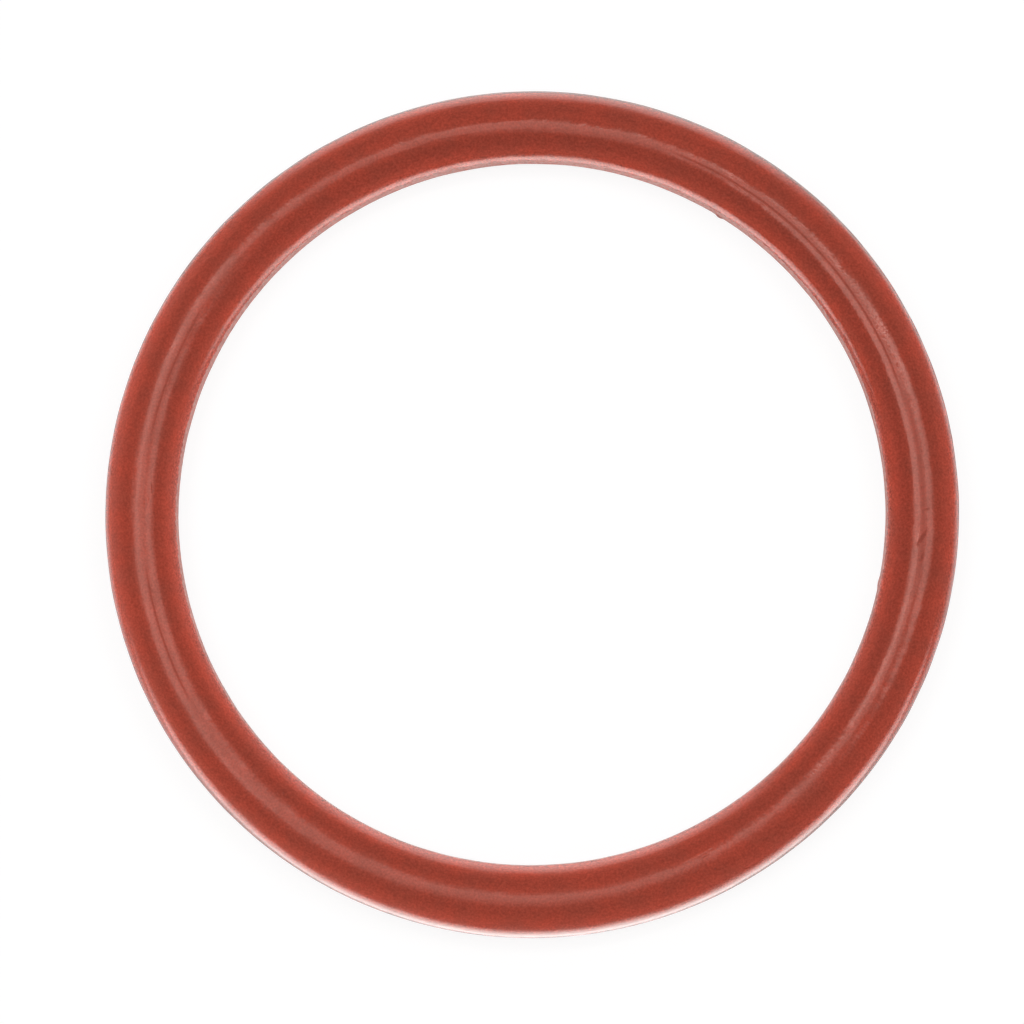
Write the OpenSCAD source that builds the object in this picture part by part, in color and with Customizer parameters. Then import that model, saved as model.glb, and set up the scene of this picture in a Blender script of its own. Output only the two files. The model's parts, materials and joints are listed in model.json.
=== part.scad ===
// Silicone o-ring: a closed ring of round section, moulded in one piece.
// Its centre is the origin, its axis is Z and it lies in the XY plane.

/* [Ring] */
// Inner diameter, across the hole at mid-height
inner_d = 34.52; // [12:0.01:120]
// Diameter of the round section
section_d = 3.53; // [1:0.01:7]

/* [Mould line] */
// How far the trimmed mould line stands out of the section
flash_height = 0.04; // [0.01:0.01:0.12]
// Width of the mould line where it meets the section
flash_width = 0.14; // [0.06:0.01:0.3]

/* [Hidden] */

ring_facets = 240;
section_facets = 96;

// The section's centre runs round the axis on this radius
section_r = section_d / 2;
centre_r = inner_d / 2 + section_r;

// The mould line is the cap of a smaller circle that meets the section at its two feet
flash_foot = sqrt(pow(section_r, 2) - pow(flash_width / 2, 2));
flash_rise = section_r + flash_height - flash_foot;
flash_r = (pow(flash_width / 2, 2) + pow(flash_rise, 2)) / (2 * flash_rise);
flash_centre = section_r + flash_height - flash_r;

// The cut section, with one mould line facing the hole and one on the outside
module section() {
    circle(r = section_r, $fn = section_facets);
    for (side = [-1, 1])
        translate([side * flash_centre, 0])
            circle(r = flash_r, $fn = section_facets);
}

// The ring, turned from its section
module o_ring() {
    color("#a84636")
        rotate_extrude($fn = ring_facets)
            translate([centre_r, 0])
                section();
}

o_ring();
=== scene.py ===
import json
import math

import bmesh
import bpy
from mathutils import Matrix, Vector, noise


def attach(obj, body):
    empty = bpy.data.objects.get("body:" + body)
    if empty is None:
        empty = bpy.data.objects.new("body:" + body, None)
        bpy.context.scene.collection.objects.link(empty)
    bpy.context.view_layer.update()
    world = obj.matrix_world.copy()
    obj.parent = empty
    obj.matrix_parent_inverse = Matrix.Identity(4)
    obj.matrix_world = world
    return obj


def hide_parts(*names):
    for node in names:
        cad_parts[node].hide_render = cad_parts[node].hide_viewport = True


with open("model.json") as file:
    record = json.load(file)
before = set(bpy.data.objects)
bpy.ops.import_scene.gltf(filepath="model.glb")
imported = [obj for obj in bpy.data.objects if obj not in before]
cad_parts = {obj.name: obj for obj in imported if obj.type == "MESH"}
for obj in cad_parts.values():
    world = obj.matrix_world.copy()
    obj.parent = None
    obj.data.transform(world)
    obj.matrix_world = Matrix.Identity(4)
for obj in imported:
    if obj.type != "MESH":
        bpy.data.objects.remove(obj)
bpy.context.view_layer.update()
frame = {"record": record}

mm = 0.001
micron = 1e-6
inPlane = (1, 1, 0)          # takes the height out of a place

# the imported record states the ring's exact sizes at its two sealing lines
mounts = {mount["name"]: mount for mount in frame["record"]["mounts"]}
innerRadius = mounts["inner_seal_line"]["dims"]["r_mm"] * mm
outerRadius = mounts["outer_seal_line"]["dims"]["r_mm"] * mm
sectionRadius = mounts["inner_seal_line"]["dims"]["length_mm"] * mm / 2
centreRadius = (innerRadius + outerRadius) / 2
floorHeight = -sectionRadius
print(f"frame loaded, ring {2 * innerRadius / mm:.2f} x {2 * sectionRadius / mm:.2f} mm")


# camera

cameraSettings = {
    "tilt": 7.5,             # degrees off the ring's axis
    "bearing": 101.3,        # where the ring's axis points in the picture, degrees from its right
    "framePixels": 1024,
    "ringPixels": 390.15,    # the section's centre circle, radius in the picture
    "ringOffset": (19.7, -0.55),   # ring's centre from the picture's middle, pixels right and up
    "distancePixels": 9000,
    "sensor": 36,
    "clip": (0.01, 20),
}


def makeCamera(s):
    tilt = math.radians(s["tilt"])
    bearing = math.radians(s["bearing"])
    # the ring's axis leans to its bearing in the picture, so the camera leans the other way
    lean = math.sin(tilt)
    back = Vector((-math.cos(bearing) * lean, -math.sin(bearing) * lean, math.cos(tilt)))
    right = Vector((0, 1, 0)).cross(back).normalized()
    up = back.cross(right)
    pixel = centreRadius / s["ringPixels"]
    offset = (right * s["ringOffset"][0] + up * s["ringOffset"][1]) * pixel
    data = bpy.data.cameras.new("camera")
    data.sensor_width = s["sensor"]
    data.lens = s["sensor"] * s["distancePixels"] / s["framePixels"]
    data.clip_start, data.clip_end = s["clip"]
    camera = bpy.data.objects.new("camera", data)
    bpy.context.scene.collection.objects.link(camera)
    turn = Matrix((right, up, back)).transposed().to_4x4()
    camera.matrix_world = Matrix.Translation(back * s["distancePixels"] * pixel - offset) @ turn
    bpy.context.scene.camera = camera


makeCamera(cameraSettings)
print("camera placed")


# studio

# flat soft boxes that face down, metres, degrees and watts
lampSettings = {
    "lampLeft": {"middle": (-0.224, -0.010, 0.640), "size": (0.206, 0.258), "turn": 1, "power": 0.775},
    "lampLeftBack": {"middle": (-0.158, 0.157, 0.644), "size": (0.196, 0.044), "turn": -29, "power": 0.311},
    "lampMiddle": {"middle": (-0.019, 0.0, 0.648), "size": (0.142, 0.264), "turn": 10, "power": 0.315},
    "lampBack": {"middle": (0.133, 0.169, 0.652), "size": (0.258, 0.038), "turn": 19, "power": 0.359},
    "lampRight": {"middle": (0.305, 0.070, 0.640), "size": (0.278, 0.254), "turn": -45, "power": 0.841},
    "lampFront": {"middle": (-0.051, -0.195, 0.654), "size": (0.075, 0.100), "turn": 10, "power": 0.052},
}
# the dome above, and what the ring's gloss sees below the level of the table: strengths, and the
# heights between which one passes into the next, where 1 is straight up and -1 straight down
worldSettings = {
    "dome": 0.34,
    "tableSide": 0.12,
    "sideFade": (-0.12, 0.12),
    "tableBack": 2.5,
    "backFade": (-0.25, 0.12),
    "backFacing": (0.72, 0.96),    # how much a direction faces the back, from none of it to all
    "backLow": (-0.90, -0.53),
    "backLowShare": 0.38,
    "tableLow": 1.1,
    "lowFade": (-0.78, -0.45),
    "tableUnder": 0.95,
    "underFade": (-0.98, -0.86),
}
floorSettings = {
    "size": 4.0,
    "colour": (0.15, 0.15, 0.15, 1),
    "shown": 0.895,          # glow that makes the lit floor white in the picture
    # light that the table sends up to the ring, by mm from the section's centre circle
    "glow": 7.0,
    "rise": (4.3, 8.0),
    "fall": (9.5, 15.0),
    "farGlow": 0.45,
    "insideShare": 0.77,     # of those distances in the ring's hole
    # share of that light on each side of the table, outside the ring and in its hole
    "outside": {"left": 1.18, "right": 0.92, "front": 0.93, "back": 1.13},
    "inside": {"left": 1.12, "right": 1.06, "front": 1.02, "back": 0.66},
    # mm from the ring's axis between which one side passes into the other
    "leftToRight": (-14, 14),
    "frontToBack": (-12, 14),
}
# bright table further down in front of the ring, for the ring's gloss alone
cardSettings = {
    "depth": 0.080,
    "near": (0.044, 0.065),
    "far": (0.132, 0.245),
    "middle": -0.012,
    "reach": (0.05, 0.42),
    "strength": 5.8,
}


def addMath(tree, operation, *values):
    node = tree.nodes.new("ShaderNodeMath")
    node.operation = operation
    for socket, value in zip(node.inputs, values):
        if isinstance(value, (int, float)):
            socket.default_value = value
        else:
            tree.links.new(value, socket)
    return node.outputs[0]


def addVector(tree, operation, first, second=None, scale=None):
    node = tree.nodes.new("ShaderNodeVectorMath")
    node.operation = operation
    tree.links.new(first, node.inputs[0])
    if second is not None:
        node.inputs[1].default_value = second
    if isinstance(scale, (int, float)):
        node.inputs["Scale"].default_value = scale
    elif scale is not None:
        tree.links.new(scale, node.inputs["Scale"])
    return node.outputs["Value" if operation in ("LENGTH", "DOT_PRODUCT") else "Vector"]


def addRange(tree, value, low, high, toLow, toHigh, smooth=True):
    node = tree.nodes.new("ShaderNodeMapRange")
    node.interpolation_type = "SMOOTHSTEP" if smooth else "LINEAR"
    tree.links.new(value, node.inputs["Value"])
    for socket, number in zip(("From Min", "From Max", "To Min", "To Max"), (low, high, toLow, toHigh)):
        if isinstance(number, (int, float)):
            node.inputs[socket].default_value = number
        else:
            tree.links.new(number, node.inputs[socket])
    return node.outputs["Result"]


def splitPlace(tree, vector):
    node = tree.nodes.new("ShaderNodeSeparateXYZ")
    tree.links.new(vector, node.inputs[0])
    return node.outputs


def makeLamp(name, s):
    data = bpy.data.lights.new(name, "AREA")
    data.shape = "RECTANGLE"
    data.size, data.size_y = s["size"]
    data.energy = s["power"]
    lamp = bpy.data.objects.new(name, data)
    bpy.context.scene.collection.objects.link(lamp)
    lamp.location = s["middle"]
    lamp.rotation_euler = (0, 0, math.radians(s["turn"]))
    lamp.visible_camera = False


def makeWorld(s):
    world = bpy.data.worlds.new("studio")
    world.use_nodes = True
    world.cycles.sampling_method = "NONE"
    bpy.context.scene.world = world
    tree = world.node_tree
    tree.nodes.clear()
    direction = tree.nodes.new("ShaderNodeTexCoord").outputs["Generated"]
    height = splitPlace(tree, direction)["Z"]
    level = addVector(tree, "NORMALIZE", addVector(tree, "MULTIPLY", direction, inPlane))
    toBack = splitPlace(tree, level)["Y"]
    back = addRange(tree, toBack, *s["backFacing"], 0.0, s["tableBack"])
    back = addMath(tree, "MULTIPLY", back, addRange(tree, height, *s["backFade"], 1.0, 0.0))
    back = addMath(tree, "MULTIPLY", back, addRange(tree, height, *s["backLow"], s["backLowShare"], 1.0))
    side = addRange(tree, height, *s["sideFade"], s["tableSide"], s["dome"])
    side = addRange(tree, height, *s["lowFade"], s["tableLow"], side)
    light = addMath(tree, "MAXIMUM", side, back)
    light = addRange(tree, height, *s["underFade"], s["tableUnder"], light)
    ray = tree.nodes.new("ShaderNodeLightPath").outputs
    seen = addMath(tree, "MAXIMUM", ray["Is Camera Ray"], ray["Is Transmission Ray"])
    glow = tree.nodes.new("ShaderNodeBackground")
    tree.links.new(addMath(tree, "MAXIMUM", light, seen), glow.inputs["Strength"])
    out = tree.nodes.new("ShaderNodeOutputWorld")
    tree.links.new(glow.outputs[0], out.inputs[0])


def makeSheet(name, matrix):
    bm = bmesh.new()
    bmesh.ops.create_grid(bm, x_segments=1, y_segments=1, size=1, matrix=matrix)
    mesh = bpy.data.meshes.new(name)
    bm.to_mesh(mesh)
    bm.free()
    sheet = bpy.data.objects.new(name, mesh)
    bpy.context.scene.collection.objects.link(sheet)
    return sheet


def startMaterial(name):
    material = bpy.data.materials.new(name)
    material.use_nodes = True
    material.cycles.emission_sampling = "NONE"
    tree = material.node_tree
    tree.nodes.clear()
    out = tree.nodes.new("ShaderNodeOutputMaterial")
    return material, tree, out.inputs["Surface"]


def makeFloor(s):
    floor = makeSheet("floor", Matrix.Translation((0, 0, floorHeight)) @ Matrix.Scale(s["size"] / 2, 4))
    material, tree, surface = startMaterial("paleTable")
    matt = tree.nodes.new("ShaderNodeBsdfDiffuse")
    matt.inputs["Color"].default_value = s["colour"]
    spot = addVector(tree, "MULTIPLY", tree.nodes.new("ShaderNodeTexCoord").outputs["Object"], inPlane)
    fromRing = addMath(tree, "SUBTRACT", addVector(tree, "LENGTH", spot), centreRadius)
    inHole = addRange(tree, fromRing, -mm, mm, 1.0, 0.0)
    fromInside = addMath(tree, "MULTIPLY", fromRing, -1 / s["insideShare"])
    fromRing = addMath(tree, "MAXIMUM", fromRing, fromInside)
    rise, fall, leftToRight, frontToBack = [[place * mm for place in s[name]]
                                            for name in ("rise", "fall", "leftToRight", "frontToBack")]
    light = addMath(tree, "MINIMUM", addRange(tree, fromRing, *rise, 0.0, s["glow"]),
                    addRange(tree, fromRing, *fall, s["glow"], s["farGlow"]))
    left, right, front, back = [addRange(tree, inHole, 0.0, 1.0, s["outside"][way], s["inside"][way], False)
                                for way in ("left", "right", "front", "back")]
    place = splitPlace(tree, spot)
    light = addMath(tree, "MULTIPLY", light, addRange(tree, place["X"], *leftToRight, left, right))
    light = addMath(tree, "MULTIPLY", light, addRange(tree, place["Y"], *frontToBack, front, back))
    ray = tree.nodes.new("ShaderNodeLightPath").outputs
    seen = addMath(tree, "MAXIMUM", ray["Is Camera Ray"], ray["Is Transmission Ray"])
    seen = addMath(tree, "MAXIMUM", seen, ray["Is Glossy Ray"])
    glow = tree.nodes.new("ShaderNodeEmission")
    tree.links.new(addRange(tree, seen, 0.0, 1.0, light, s["shown"], False), glow.inputs["Strength"])
    both = tree.nodes.new("ShaderNodeAddShader")
    tree.links.new(matt.outputs[0], both.inputs[0])
    tree.links.new(glow.outputs[0], both.inputs[1])
    tree.links.new(both.outputs[0], surface)
    floor.data.materials.append(material)
    floor.visible_glossy = False


def makeCard(s):
    wide, deep = s["reach"][1], s["far"][1]
    place = Matrix.Translation((0, -deep / 2, -s["depth"])) @ Matrix.Diagonal((wide, deep / 2, 1, 1))
    card = makeSheet("brightTable", place)
    material, tree, surface = startMaterial("brightTable")
    spot = splitPlace(tree, tree.nodes.new("ShaderNodeTexCoord").outputs["Object"])
    forward = addMath(tree, "MULTIPLY", spot["Y"], -1)
    share = addMath(tree, "MULTIPLY", addRange(tree, forward, *s["near"], 0.0, 1.0),
                    addRange(tree, forward, *s["far"], 1.0, 0.0))
    across = addMath(tree, "ABSOLUTE", addMath(tree, "SUBTRACT", spot["X"], s["middle"]))
    share = addMath(tree, "MULTIPLY", share, addRange(tree, across, *s["reach"], 1.0, 0.0))
    glow = tree.nodes.new("ShaderNodeEmission")
    glow.inputs["Strength"].default_value = s["strength"]
    clear = tree.nodes.new("ShaderNodeBsdfTransparent")
    mix = tree.nodes.new("ShaderNodeMixShader")
    tree.links.new(share, mix.inputs[0])
    tree.links.new(clear.outputs[0], mix.inputs[1])
    tree.links.new(glow.outputs[0], mix.inputs[2])
    tree.links.new(mix.outputs[0], surface)
    card.data.materials.append(material)
    card.visible_camera = card.visible_diffuse = card.visible_shadow = card.visible_transmission = False


for lampName, lampValues in lampSettings.items():
    makeLamp(lampName, lampValues)
makeWorld(worldSettings)
makeFloor(floorSettings)
makeCard(cardSettings)
print("studio lit")


# ring

ringSettings = {
    "sectionSteps": 64,
    "ringSteps": 720,
    "weld": 1e-7,            # metres
    "flashCuts": 4,          # extra points on each profile edge beside the mould line
    "flashReach": 0.18,      # mm each way from the mould line that gets them
    "flashWidth": 0.14,      # mm
    "flashHeight": 0.04,     # mm
    # share of that height that the trimming left, and how much more at the back than at the side
    "keptInside": (0.55, 0.35),
    "keptOutside": (0.72, 0.50),
    "uneven": 0.3,           # how far that share wanders on its way round
    "unevenPerMetre": 700,
    "keptLimits": (0.05, 1.3),
    # stubs of the mould line that were trimmed less, degrees and mm
    "nibs": [
        {"angle": 57.8, "inside": True, "length": 0.6, "height": 0.10},
        {"angle": 348.3, "inside": True, "length": 0.8, "height": 0.06},
        {"angle": 9.8, "inside": False, "length": 0.4, "height": 0.045},
        {"angle": 117.9, "inside": True, "length": 0.25, "height": 0.04},
    ],
}


def flashBead(across, along, turn, inside, s):
    # height in metres of the trimmed mould line, across is the arc from its middle
    share = 1 - (2 * across / (s["flashWidth"] * mm)) ** 2
    if share <= 0:
        return 0.0
    kept, more = s["keptInside"] if inside else s["keptOutside"]
    trimmed = kept + more * math.sin(math.radians(turn))
    trimmed += s["uneven"] * noise.noise(Vector((along[0], along[1], 0)) * s["unevenPerMetre"])
    least, most = s["keptLimits"]
    height = s["flashHeight"] * min(most, max(least, trimmed))
    for nib in s["nibs"]:
        off = abs((turn - nib["angle"] + 180) % 360 - 180) * math.radians(1) * centreRadius / mm
        if inside == nib["inside"] and off < nib["length"] / 2:
            height = max(height, nib["height"] * (1 - (2 * off / nib["length"]) ** 2))
    return height * mm * share


def wrapPlace(co):
    # share of the way round the ring, and round its section from the outside
    turn = math.atan2(co.y, co.x) / (2 * math.pi)
    tube = math.atan2(co.z, math.hypot(co.x, co.y) - centreRadius) / (2 * math.pi)
    return turn % 1, tube % 1


def wrapRing(bm):
    wrap = bm.loops.layers.uv.new("ringWrap")
    quarter = 0.25
    for face in bm.faces:
        corners = [wrapPlace(loop.vert.co) for loop in face.loops]
        for loop, place in zip(face.loops, corners):
            # corners past the seam count on, so that no face runs backwards over the whole map
            loop[wrap].uv = [p + 1 if p < quarter and max(c[i] for c in corners) > 1 - quarter else p
                             for i, p in enumerate(place)]


def makeRing(s):
    bm = bmesh.new()
    middle = Vector((centreRadius, 0, 0))
    bmesh.ops.create_circle(bm, segments=s["sectionSteps"], radius=sectionRadius,
                            matrix=Matrix.Translation(middle) @ Matrix.Rotation(math.pi / 2, 4, "X"))
    near = [edge for edge in bm.edges
            if all(abs(v.co.z) < s["flashReach"] * mm for v in edge.verts)]
    bmesh.ops.subdivide_edges(bm, edges=near, cuts=s["flashCuts"])
    for v in bm.verts:
        v.co = middle + (v.co - middle).normalized() * sectionRadius
    bmesh.ops.spin(bm, geom=bm.verts[:] + bm.edges[:], cent=(0, 0, 0), axis=(0, 0, 1),
                   angle=2 * math.pi, steps=s["ringSteps"], use_merge=True, use_duplicate=False)
    bmesh.ops.remove_doubles(bm, verts=bm.verts[:], dist=s["weld"])
    bmesh.ops.recalc_face_normals(bm, faces=bm.faces[:])
    for face in bm.faces:
        face.smooth = True
    wrapRing(bm)
    for v in bm.verts:
        spoke = Vector((v.co.x, v.co.y, 0)).normalized()
        outward = v.co - spoke * centreRadius
        side = spoke * (1 if outward.dot(spoke) > 0 else -1)
        across = sectionRadius * outward.angle(side)
        turn = math.degrees(math.atan2(spoke.y, spoke.x))
        inside = side.dot(spoke) < 0
        v.co += outward.normalized() * flashBead(across, spoke * centreRadius + side * mm, turn, inside, s)
    mesh = bpy.data.meshes.new("siliconeRing")
    bm.to_mesh(mesh)
    bm.free()
    ring = bpy.data.objects.new("silicone_ring", mesh)
    bpy.context.scene.collection.objects.link(ring)
    return ring


siliconeSettings = {
    "colour": (0.432, 0.0610, 0.0352),
    "brown": (0.365, 0.0585, 0.0348),      # where the filler shows darker
    "glossTint": (1.0, 0.66, 0.58, 1),
    "ior": 1.43,
    # noises: scale per mm, detail, roughness
    "grainNoise": (9.0, 2, 0.55),
    "mottleNoise": (0.7, 3, 0.6),
    "swellNoise": (0.3, 1, 0.5),
    "broadNoise": (0.12, 1, 0.5),
    "raggedNoise": (2.6, 3, 0.65),
    "chalkNoise": (7.0, 3, 0.7),
    "bandNoise": (8.0, 3, 0.7),
    "markNoise": (9.0, 2, 0.5),
    "streakNoise": (1.0, 2, 0.5),
    "streakScale": (5.0, 8.5),             # round the ring, and round its section
    "noiseSpan": (0.3, 0.7),               # values that most of a noise lies between
    "grainSpan": (0.25, 0.75),
    # tone, as a share of the colour
    "grain": 0.25,
    "rimGrain": 2.7,                       # times that much near the ring's edges
    "rimHeights": (0.6, 1.25),             # mm off the mid-plane, from all of that to none
    "broadTone": (0.975, 1.025),
    # painted shade: the colour darker at the right and back and lighter at the left and front, where the
    # light falls unevenly
    "rightAndBack": (0.707, 0.707, 0),         # the right and back
    "paintedSideShade": 0.035,
    # painted light and shade: the crown lighter, the flank beside it on the hole's side darker
    "paintedCrownLight": 0.06,
    "crownReach": (0.3, 0.75),             # mm to either side of the crown
    "paintedHoleShade": -0.07,
    "holeStart": (0.35, 0.75),             # mm towards the hole
    "holeEnd": (1.0, 1.3),
    # painted light: lighter along the outer edge at the sides
    "paintedEdgeLight": 0.13,
    "edgeReach": (1.3, 1.55),              # mm outwards
    "edgeSides": (0.5, 0.95),              # share of front or back, from all of that to none
    # painted shade: greyer, darker rubber colour along the outer mould line, most at the front and back
    "edgeShadeColour": (0.24, 0.070, 0.052),
    "rimAngles": (12, 34),                 # degrees from that line, all grey and all rubber
    "rimShares": (0.22, 1.3),              # how grey at the sides, and at the front and back
    "rimSides": (0.25, 0.95),              # share of front or back that these hold for
    # dull, chalky trimmed band on the inner wall
    "bandColour": (0.44, 0.28, 0.255),
    "bandShares": (0.3, 0.9),
    "bandHalfAngle": 17.2,                 # degrees each way from the inner mould line
    "bandRagged": 0.06,                    # radians
    "bandBlur": 0.02,
    # roughness
    "roughness": (0.15, 0.24),             # right and back of the ring, left and front
    "mottleRoughness": 0.04,
    "bandRoughness": 0.58,
    "markRoughness": 0.55,
    "markDepth": 8.0,                      # microns, from which a mark is that rough
    # relief, microns
    "relief": {"grain": 3.0, "swell": 60.0, "mottle": 24.0, "ragged": 25.0, "streaks": 6.0},
    "bandRelief": 14.0,
    "topHeight": 0.4,                      # mm above the mid-plane from which marks show in full
}
# degrees round the ring, mm outwards from the section's centre circle, turn of the long axis from X,
# mm, darkening as a share of the colour, microns
markSettings = [
    {"angle": 355.5, "out": 0.03, "turn": 58, "length": 1.10, "width": 0.21, "stainAndShade": 0.20, "depth": 9},
    {"angle": 352.7, "out": 0.13, "turn": 76, "length": 0.80, "width": 0.15, "stainAndShade": 0.12, "depth": 6},
    {"angle": 359.65, "out": 0.22, "turn": 8, "length": 0.30, "width": 0.12, "stainAndShade": 0.14, "depth": 5},
    {"angle": 2.9, "out": -0.06, "turn": 110, "length": 0.36, "width": 0.08, "stainAndShade": 0.10, "depth": 4},
    {"angle": 296.4, "out": -0.05, "turn": 27, "length": 0.55, "width": 0.07, "stainAndShade": 0.20, "depth": 6},
    {"angle": 296.8, "out": 0.69, "turn": 20, "length": 0.16, "width": 0.12, "stainAndShade": 0.25, "depth": 3},
    {"angle": 295.3, "out": -0.27, "turn": 28, "length": 1.90, "width": 0.16, "stainAndShade": -0.16, "depth": -5},
    {"angle": 294.0, "out": 0.35, "turn": 30, "length": 0.70, "width": 0.25, "stainAndShade": 0.06, "depth": 2},
    {"angle": 178.45, "out": -0.39, "turn": 88, "length": 0.48, "width": 0.10, "stainAndShade": -0.12, "depth": -4},
    {"angle": 176.7, "out": -0.56, "turn": 92, "length": 0.50, "width": 0.09, "stainAndShade": 0.14, "depth": 5},
]
markEdge = (0.9, 1.6)        # where a mark starts to fade and ends, half its size and the noise added
# fine creases along the crown: grooves in the relief, with painted shade along them where the crown's
# reflection has dark gaps;
# degrees round the ring and degrees each way to where they fade and end, mm outwards at the middle, bend is
# mm outwards along the way
creaseSettings = [
    {"angle": 43, "half": (21, 29), "out": -0.20, "bend": -0.12, "width": 0.080, "stainAndShade": 0.10, "depth": 8},
    {"angle": 159, "half": (7, 12), "out": -0.228, "bend": 0.20, "width": 0.090, "stainAndShade": 0.11, "depth": 8},
    {"angle": 199, "half": (7, 12), "out": -0.074, "bend": 0.23, "width": 0.088, "stainAndShade": 0.11, "depth": 8},
    {"angle": 3, "half": (10, 17), "out": 0.02, "bend": -0.228, "width": 0.18, "stainAndShade": 0.06, "depth": 5},
]
creaseFloor = 0.2            # share of a crease's width that has its full depth


def addNoise(tree, place, scale, detail, roughness, fourth=None):
    node = tree.nodes.new("ShaderNodeTexNoise")
    node.noise_dimensions = "3D" if fourth is None else "4D"
    tree.links.new(place, node.inputs["Vector"])
    if fourth is not None:
        tree.links.new(fourth, node.inputs["W"])
    node.inputs["Scale"].default_value = scale
    node.inputs["Detail"].default_value = detail
    node.inputs["Roughness"].default_value = roughness
    return node.outputs["Fac"]


def mixColours(tree, share, first, second):
    node = tree.nodes.new("ShaderNodeMix")
    node.data_type = "RGBA"
    tree.links.new(share, node.inputs[0])
    for socket, colour in zip([i for i in node.inputs if i.type == "RGBA"], (first, second)):
        if isinstance(colour, tuple):
            socket.default_value = (*colour, 1)
        else:
            tree.links.new(colour, socket)
    return [o for o in node.outputs if o.type == "RGBA"][0]


def addMark(tree, place, shaken, s):
    # 1 inside a small oval, 0 outside it
    far = centreRadius / mm + s["out"]
    angle = math.radians(s["angle"])
    node = tree.nodes.new("ShaderNodeMapping")
    node.vector_type = "TEXTURE"
    node.inputs["Location"].default_value = (far * math.cos(angle), far * math.sin(angle), 0)
    node.inputs["Rotation"].default_value = (0, 0, math.radians(s["turn"]))
    node.inputs["Scale"].default_value = (s["length"] / 2, s["width"] / 2, 1)
    tree.links.new(place, node.inputs["Vector"])
    reach = addVector(tree, "LENGTH", addVector(tree, "MULTIPLY", node.outputs[0], inPlane))
    return addRange(tree, addMath(tree, "ADD", reach, shaken), *markEdge, 1.0, 0.0)


def addCrease(tree, spoke, out, s):
    # 1 along a fine line round the ring, 0 beside it
    angle = math.radians(s["angle"])
    along = addVector(tree, "DOT_PRODUCT", spoke, (math.cos(angle), math.sin(angle), 0))
    aside = addVector(tree, "DOT_PRODUCT", spoke, (-math.sin(angle), math.cos(angle), 0))
    line = addMath(tree, "MULTIPLY_ADD", aside, s["bend"], s["out"])
    off = addMath(tree, "ABSOLUTE", addMath(tree, "SUBTRACT", out, line))
    full, none = [math.cos(math.radians(half)) for half in s["half"]]
    return addMath(tree, "MULTIPLY", addRange(tree, off, creaseFloor * s["width"], s["width"], 1.0, 0.0),
                   addRange(tree, along, none, full, 0.0, 1.0))


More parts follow.
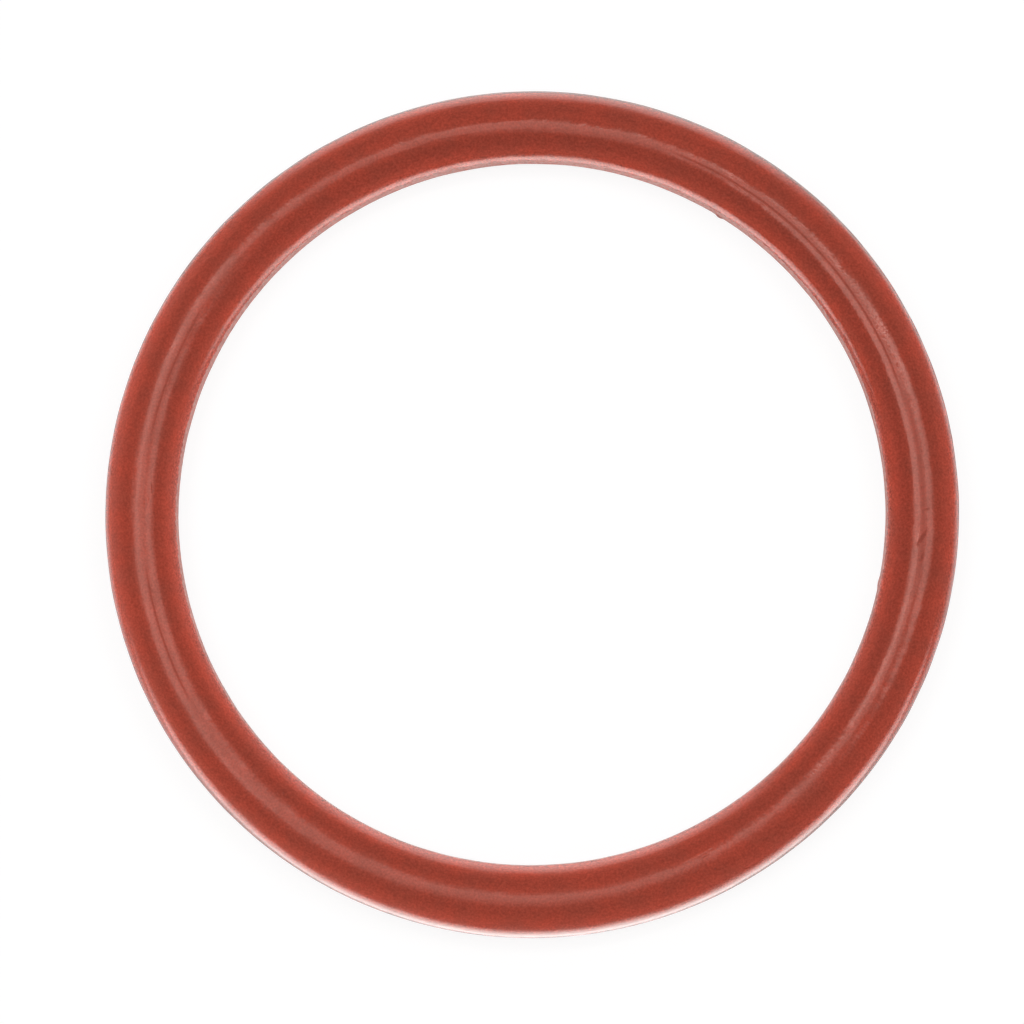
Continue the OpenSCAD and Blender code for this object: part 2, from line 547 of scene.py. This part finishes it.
def makeSilicone(s):
    material = bpy.data.materials.new("silicone")
    material.use_nodes = True
    tree = material.node_tree
    rubber = tree.nodes["Principled BSDF"]
    rubber.inputs["IOR"].default_value = s["ior"]
    rubber.inputs["Specular Tint"].default_value = s["glossTint"]

    # places on the ring, in millimetres
    place = addVector(tree, "SCALE", tree.nodes.new("ShaderNodeTexCoord").outputs["Object"], scale=1 / mm)
    flat = addVector(tree, "MULTIPLY", place, inPlane)
    spoke = addVector(tree, "NORMALIZE", flat)
    out = addMath(tree, "SUBTRACT", addVector(tree, "LENGTH", flat), centreRadius / mm)
    inwards = addMath(tree, "MULTIPLY", out, -1)
    level = splitPlace(tree, place)["Z"]
    offLevel = addMath(tree, "ABSOLUTE", level)
    fromInside = addMath(tree, "ARCTAN2", offLevel, inwards)
    fromOutside = addMath(tree, "ARCTAN2", offLevel, out)
    frontBack = addMath(tree, "ABSOLUTE", splitPlace(tree, spoke)["Y"])
    side = addVector(tree, "DOT_PRODUCT", spoke, s["rightAndBack"])

    grain, mottle, swell, broad, shaken, torn, dusty, coarse = [
        addNoise(tree, place, *s[name + "Noise"])
        for name in ("grain", "mottle", "swell", "broad", "mark", "ragged", "chalk", "band")]

    # trimmed band along the inner mould line, with a ragged edge
    span = s["noiseSpan"]
    ragged = addRange(tree, torn, *span, -s["bandRagged"], s["bandRagged"], False)
    limit = addMath(tree, "ADD", ragged, math.radians(s["bandHalfAngle"]))
    beyond = addMath(tree, "SUBTRACT", fromInside, limit)
    band = addRange(tree, beyond, -s["bandBlur"], s["bandBlur"], 1.0, 0.0)

    speck = addRange(tree, grain, *s["grainSpan"], -s["grain"], s["grain"], False)
    speck = addMath(tree, "MULTIPLY", speck, addRange(tree, offLevel, *s["rimHeights"], s["rimGrain"], 1.0))
    # painted light along the outer edge, at the sides only
    paintedEdge = addMath(tree, "MULTIPLY", addRange(tree, out, *s["edgeReach"], 0.0, s["paintedEdgeLight"]),
                      addRange(tree, frontBack, *s["edgeSides"], 1.0, 0.0))
    tones = [
        addRange(tree, broad, *span, *s["broadTone"], False),
        # painted shade: darker at the right and back, lighter at the left and front
        addRange(tree, side, -1.0, 1.0, s["paintedSideShade"], -s["paintedSideShade"]),
        # painted light and shade: lighter on the crown and darker beside it, most on the hole's side; and
        # painted light along the outer edge at the sides
        addRange(tree, addMath(tree, "ABSOLUTE", out), *s["crownReach"], s["paintedCrownLight"], 0.0),
        addRange(tree, inwards, *s["holeStart"], 0.0, s["paintedHoleShade"]),
        addRange(tree, inwards, *s["holeEnd"], 0.0, -s["paintedHoleShade"]),
        paintedEdge,
    ]
    shade = speck
    for tone in tones:
        shade = addMath(tree, "ADD", shade, tone)
    body = mixColours(tree, addRange(tree, mottle, *span, 0.0, 1.0), s["colour"], s["brown"])
    body = addVector(tree, "SCALE", body, scale=shade)
    rimStart, rimEnd = [math.radians(angle) for angle in s["rimAngles"]]
    # painted shade: greyer colour along the outer mould line, more at the front and back
    rim = addRange(tree, addMath(tree, "ADD", fromOutside, ragged), rimStart, rimEnd, 1.0, 0.0)
    rim = addMath(tree, "MULTIPLY", rim, addRange(tree, frontBack, *s["rimSides"], *s["rimShares"]))
    colour = mixColours(tree, rim, body, s["edgeShadeColour"])
    chalk = addRange(tree, dusty, *span, *s["bandShares"])
    colour = mixColours(tree, addMath(tree, "MULTIPLY", band, chalk), colour, s["bandColour"])

    # small blemishes on the ring's top, and painted shade along the creases
    shares = [(addCrease(tree, spoke, out, crease), crease) for crease in creaseSettings]
    shares += [(addMark(tree, place, shaken, mark), mark) for mark in markSettings]
    stainAndShade = cut = 0.0
    for share, mark in shares:
        stainAndShade = addMath(tree, "ADD", addMath(tree, "MULTIPLY", share, mark["stainAndShade"]), stainAndShade)
        cut = addMath(tree, "ADD", addMath(tree, "MULTIPLY", share, mark["depth"]), cut)
    ontop = addRange(tree, level, 0.0, s["topHeight"], 0.0, 1.0)
    cut = addMath(tree, "MULTIPLY", cut, ontop)
    stainAndShade = addMath(tree, "SUBTRACT", 1.0, addMath(tree, "MULTIPLY", stainAndShade, ontop))
    colour = addVector(tree, "SCALE", colour, scale=stainAndShade)
    tree.links.new(colour, rubber.inputs["Base Color"])

    # duller towards the left and front, in the trimmed band and in the marks
    gloss = addRange(tree, side, -1.0, 1.0, s["roughness"][1], s["roughness"][0], False)
    mottled = addRange(tree, mottle, *span, -s["mottleRoughness"], s["mottleRoughness"], False)
    gloss = addMath(tree, "ADD", gloss, mottled)
    gloss = addRange(tree, band, 0.0, 1.0, gloss, s["bandRoughness"], False)
    gloss = addRange(tree, cut, 0.0, s["markDepth"], gloss, s["markRoughness"], False)
    tree.links.new(gloss, rubber.inputs["Roughness"])

    # heights in microns
    roundRing, roundSection = s["streakScale"]
    streaks = addNoise(tree, addVector(tree, "SCALE", spoke, scale=roundRing), *s["streakNoise"],
                       fourth=addMath(tree, "MULTIPLY", fromOutside, roundSection))
    waves = {"grain": grain, "swell": swell, "mottle": mottle, "ragged": ragged, "streaks": streaks}
    height = 0.0
    for name, rise in s["relief"].items():
        height = addMath(tree, "ADD", addMath(tree, "MULTIPLY", waves[name], rise), height)
    height = addMath(tree, "SUBTRACT", height, cut)
    rough = addMath(tree, "MULTIPLY", coarse, s["bandRelief"])
    height = addMath(tree, "ADD", height, addMath(tree, "MULTIPLY", rough, band))
    bump = tree.nodes.new("ShaderNodeBump")
    bump.inputs["Distance"].default_value = micron
    tree.links.new(height, bump.inputs["Height"])
    tree.links.new(bump.outputs[0], rubber.inputs["Normal"])
    return material


ring = makeRing(ringSettings)
ring.data.materials.append(makeSilicone(siliconeSettings))
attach(ring, "root")
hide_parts("o_ring")
print(f"ring made, {len(ring.data.polygons)} faces")

bpy.context.scene.view_settings.view_transform = "Standard"
